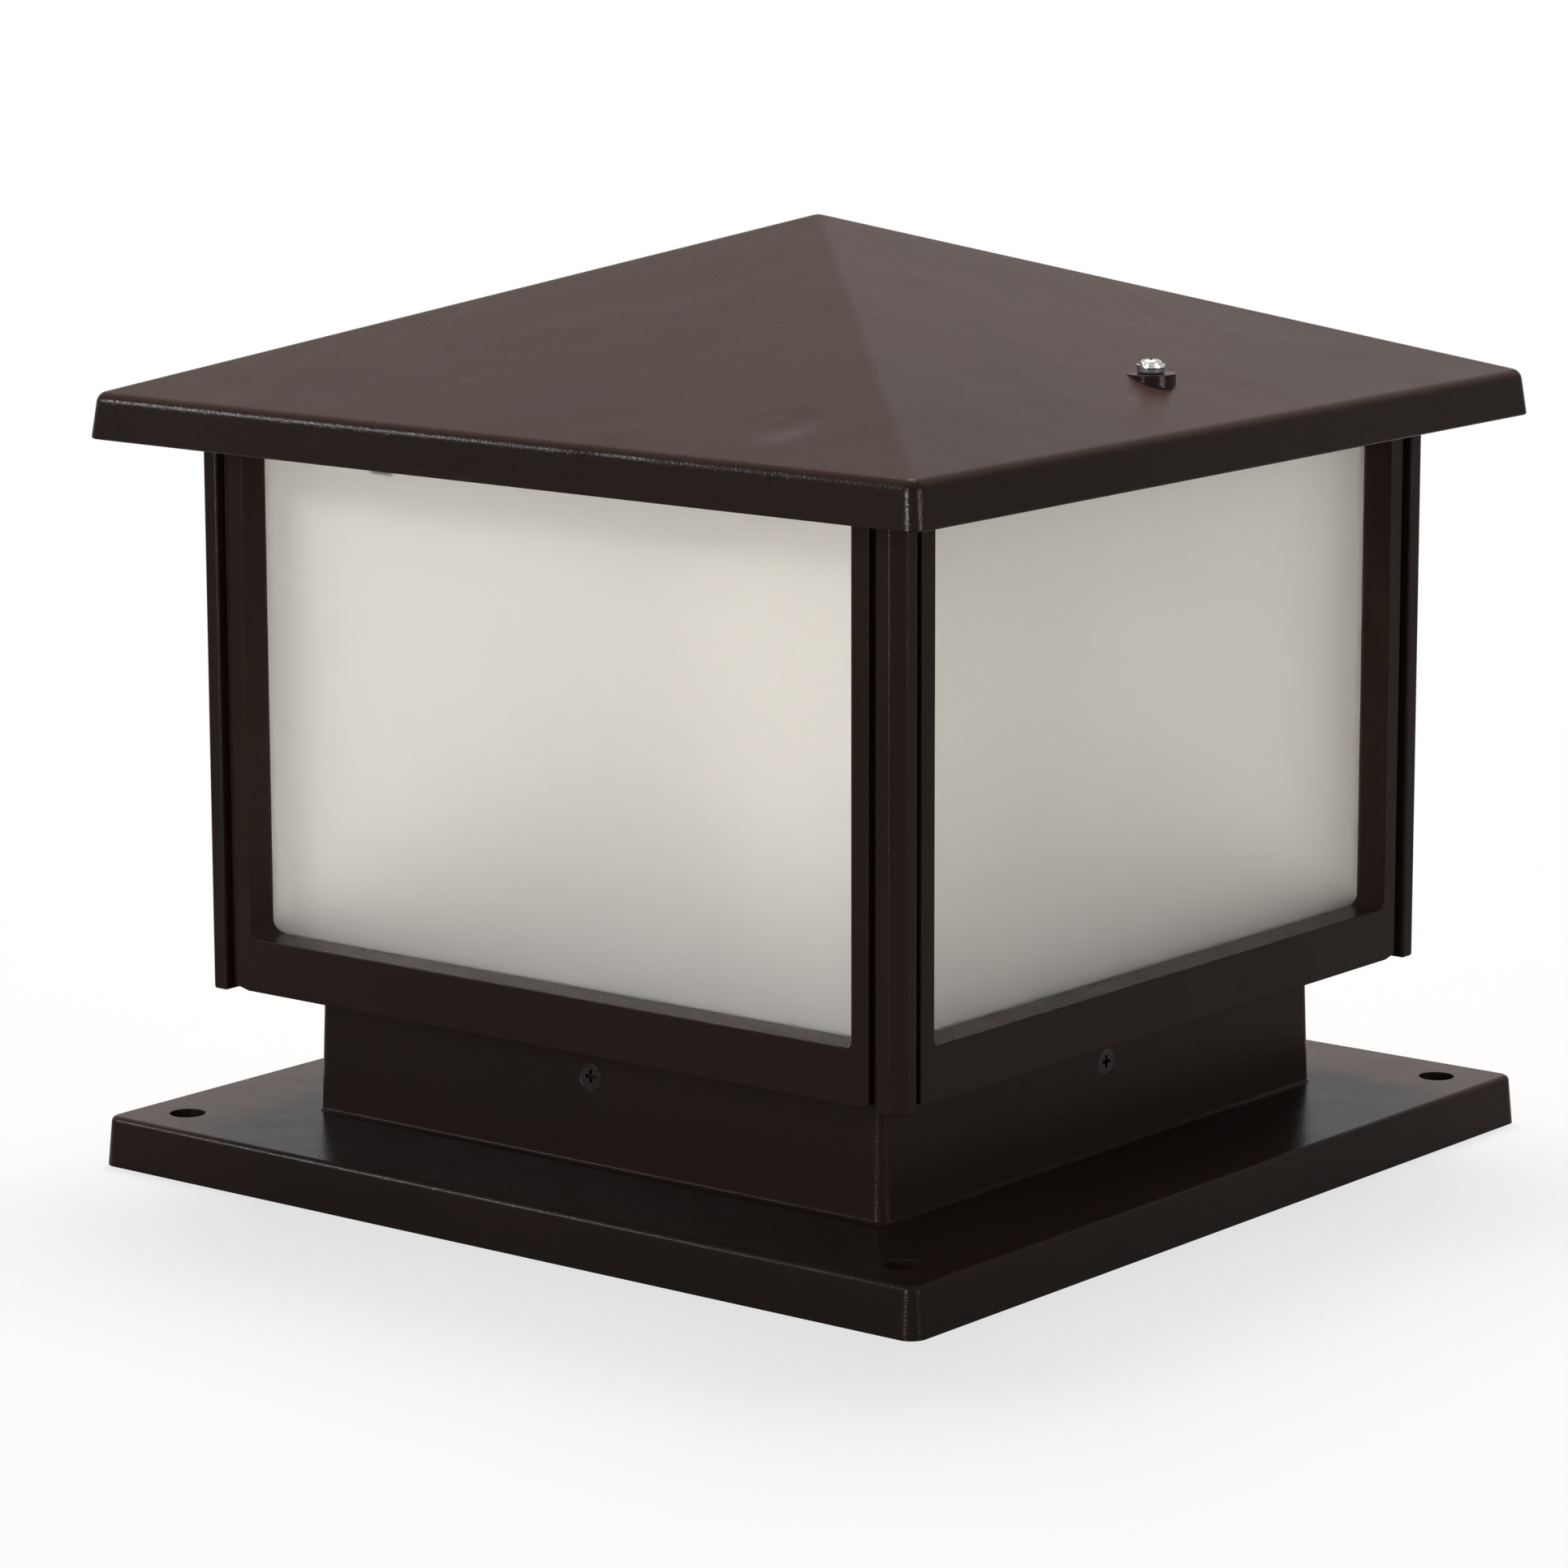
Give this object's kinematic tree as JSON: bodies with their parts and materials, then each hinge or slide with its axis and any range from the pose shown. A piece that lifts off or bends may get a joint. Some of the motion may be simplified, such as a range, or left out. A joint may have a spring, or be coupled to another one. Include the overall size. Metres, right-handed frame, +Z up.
{
  "type": "deck post cap light",
  "caption": "Square post-top lantern on a flanged base, with frosted glass on each side, a low hipped lift-off roof and a screw-in lamp inside.",
  "frame": {"origin": "centre of the underside of the mounting plate", "axes": "+Z up through the roof's peak, -Y towards the front, the two roof screws lie along X"},
  "size_m": [0.3, 0.3, 0.276],
  "materials": {
    "bronze_coat": "fine-textured matt powder coat, dark bronze, over cast aluminium",
    "bronze_tray": "the same coat on the cast floor plate",
    "frosted_glass": "acid-etched white glass",
    "black_screw": "black oxide",
    "screw_steel": "bright stainless",
    "black_rubber": "soft, matt",
    "strip_steel": "zinc plated",
    "holder_ceramic": "white glaze",
    "brass": "plain",
    "bulb_opal": "opal white",
    "cap_metal": "bright",
    "black_glass": "smooth insulator",
    "block_plastic": "white nylon",
    "lead_brown": "brown insulation",
    "lead_blue": "blue insulation",
    "lead_green": "green insulation"
  },
  "bodies": {
    "body": {"base_casting": "bronze_coat", "neck_screws": "black_screw", "floor_tray": "bronze_tray", "tray_screws": "screw_steel", "cable_grommet": "black_rubber", "side_frame_front": "bronze_coat", "side_frame_right": "bronze_coat", "side_frame_back": "bronze_coat", "side_frame_left": "bronze_coat", "corner_post_front_right": "bronze_coat", "corner_post_back_right": "bronze_coat", "corner_post_back_left": "bronze_coat", "corner_post_front_left": "bronze_coat", "post_screws": "screw_steel", "glass_pane_front": "frosted_glass", "glass_pane_right": "frosted_glass", "glass_pane_back": "frosted_glass", "glass_pane_left": "frosted_glass", "glass_seals": "black_rubber", "glass_clips": "strip_steel", "clip_screws": "screw_steel", "roof_gasket": "black_rubber", "lamp_bracket": "strip_steel", "bracket_screws": "screw_steel", "lamp_holder_body": "holder_ceramic", "lamp_holder_shell": "brass", "lamp_holder_contact": "brass", "holder_screws": "screw_steel", "terminal_block": "block_plastic", "terminal_clamps": "brass", "terminal_clamp_screws": "screw_steel", "terminal_mounting_screw": "screw_steel", "earth_screw": "screw_steel", "earth_ring_terminal": "brass", "live_lead": "lead_brown", "neutral_lead": "lead_blue", "earth_lead": "lead_green"},
    "roof": {"roof_cap": "bronze_coat", "roof_washer_right": "black_rubber", "roof_washer_left": "black_rubber"},
    "roof_screw_right": {"roof_screw_right": "screw_steel"},
    "roof_screw_left": {"roof_screw_left": "screw_steel"},
    "lamp": {"bulb_glass": "bulb_opal", "bulb_cap": "cap_metal", "bulb_insulator": "black_glass", "bulb_contact": "cap_metal"}
  },
  "joints": [
    {"name": "roof_lift", "type": "slide", "parent": "body", "child": "roof", "axis": [0, 0, 1], "range_m": [0, 0.08]},
    {"name": "roof_screw_right_turn", "type": "hinge", "parent": "roof", "child": "roof_screw_right", "pos_m": [0.1174, 0, 0.238], "axis": [0, 0, 1], "continuous": true},
    {"name": "roof_screw_left_turn", "type": "hinge", "parent": "roof", "child": "roof_screw_left", "pos_m": [-0.1174, 0, 0.238], "axis": [0, 0, 1], "continuous": true},
    {"name": "lamp_turn", "type": "hinge", "parent": "body", "child": "lamp", "pos_m": [0, 0, 0.1], "axis": [0, 0, 1], "continuous": true}
  ]
}
